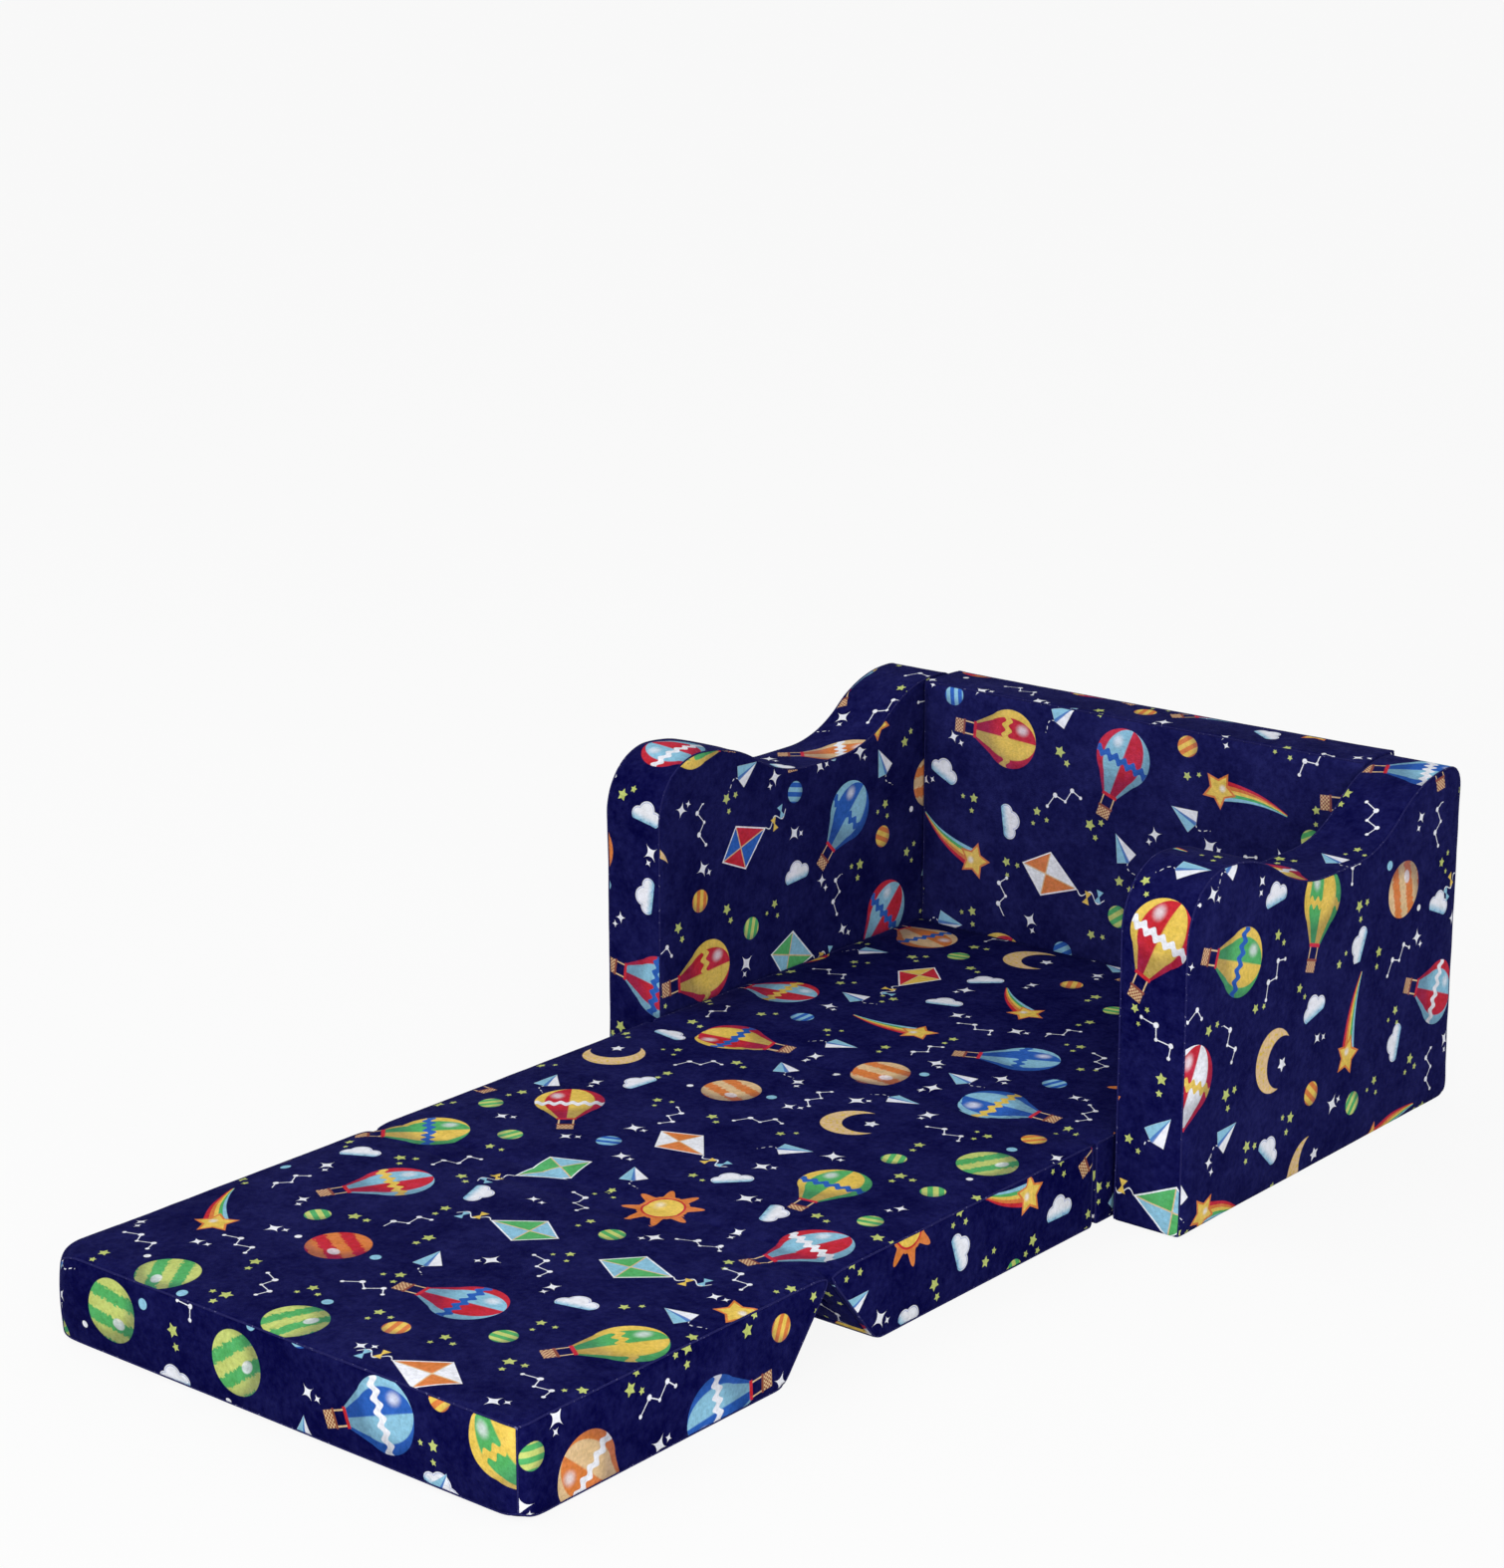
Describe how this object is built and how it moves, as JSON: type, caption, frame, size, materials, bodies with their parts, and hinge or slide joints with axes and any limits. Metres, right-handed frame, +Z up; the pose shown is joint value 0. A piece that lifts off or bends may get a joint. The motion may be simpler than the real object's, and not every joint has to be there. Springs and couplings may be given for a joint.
{
  "type": "folding sofa bed",
  "caption": "Child's foam sofa with curved arms and a folding pad that flips open from seat and backrest into a flat bed.",
  "frame": {"origin": "on the floor, under the middle of the fixed frame's footprint, on the underside of the base pad", "axes": "+X to the right seen from the open front, +Y from the open front to the back, +Z up"},
  "size_m": [0.56, 1.0349, 0.282],
  "materials": {
    "plush_cover": "matte",
    "foam": "matte",
    "base_cloth": "matte",
    "hook_tape": "satin",
    "loop_tape": "matte",
    "zip_tape": "matte",
    "zip_chain": "satin",
    "zip_metal": "satin"
  },
  "bodies": {
    "frame": {"left_arm_cover": "plush_cover", "right_arm_cover": "plush_cover", "back_cover": "plush_cover", "base_panel_cover": "plush_cover", "front_hinge_seam": "plush_cover", "left_arm_foam": "foam", "right_arm_foam": "foam", "back_foam": "foam", "base_panel_foam": "foam", "left_arm_base_cloth": "base_cloth", "right_arm_base_cloth": "base_cloth", "back_base_cloth": "base_cloth", "base_panel_base_cloth": "base_cloth", "hook_strip": "hook_tape", "loop_strip": "loop_tape", "frame_zip_tape": "zip_tape", "frame_zip_chain": "zip_chain", "frame_zip_stops": "zip_metal"},
    "seat_panel": {"seat_panel_cover": "plush_cover", "seat_zip_band": "plush_cover", "seat_panel_foam": "foam", "seat_zip_tape": "zip_tape", "seat_zip_chain": "zip_chain", "seat_zip_stops": "zip_metal", "fold_seam": "plush_cover"},
    "backrest_panel": {"backrest_panel_cover": "plush_cover", "backrest_zip_band": "plush_cover", "backrest_panel_foam": "foam", "backrest_zip_tape": "zip_tape", "backrest_zip_chain": "zip_chain", "backrest_zip_stops": "zip_metal"},
    "frame_zip_slider_body": {"frame_zip_slider": "zip_metal"},
    "seat_zip_slider_body": {"seat_zip_slider": "zip_metal"},
    "backrest_zip_slider_body": {"backrest_zip_slider": "zip_metal"}
  },
  "joints": [
    {"name": "seat_fold", "type": "hinge", "parent": "frame", "child": "seat_panel", "pos_m": [0, -0.216, 0.06775], "axis": [-1, 0, 0], "range_deg": [0, 180], "deforming": ["front_hinge_seam"]},
    {"name": "back_fold", "type": "hinge", "parent": "seat_panel", "child": "backrest_panel", "pos_m": [0, -0.52744, 0.06], "axis": [1, 0, 0], "range_deg": [0, 78], "deforming": ["fold_seam"]},
    {"name": "frame_zip_slide", "type": "slide", "parent": "frame", "child": "frame_zip_slider_body", "axis": [1, 0, 0], "range_m": [-0.3566, 0]},
    {"name": "seat_zip_slide", "type": "slide", "parent": "seat_panel", "child": "seat_zip_slider_body", "axis": [1, 0, 0], "range_m": [-0.3566, 0]},
    {"name": "backrest_zip_slide", "type": "slide", "parent": "backrest_panel", "child": "backrest_zip_slider_body", "axis": [1, 0, 0], "range_m": [-0.3566, 0]}
  ],
  "couplings": [
    {"joint": "back_fold", "follows": "seat_fold", "ratio": 0.43333}
  ]
}
